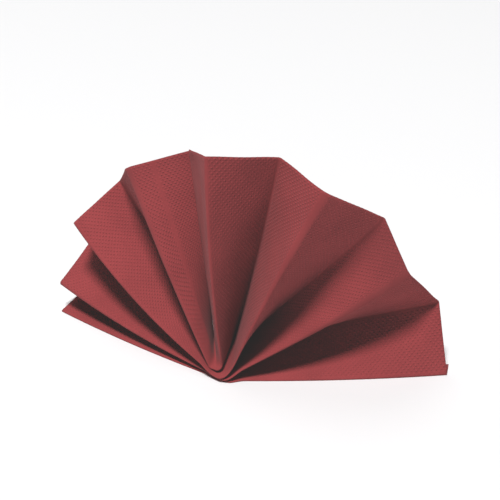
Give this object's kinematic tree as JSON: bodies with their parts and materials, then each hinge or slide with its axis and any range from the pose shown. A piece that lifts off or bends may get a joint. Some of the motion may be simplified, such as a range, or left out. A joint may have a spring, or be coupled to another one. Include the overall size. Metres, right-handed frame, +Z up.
{
  "type": "paper napkin",
  "caption": "Red embossed paper napkin, pleated, folded across its middle and opened as a half-round fan standing on a table.",
  "frame": {"origin": "on the table, under the narrow turn of the sheet at the fan's foot, where the pleats meet", "axes": "+X to the fan's right, +Y behind it, +Z up; the fan is seen from -Y"},
  "size_m": [0.1803, 0.1014, 0.1046],
  "materials": {
    "tissue_paper": "matt dyed tissue with fine embossed points"
  },
  "bodies": {
    "root": {"napkin": "tissue_paper"}
  },
  "joints": []
}
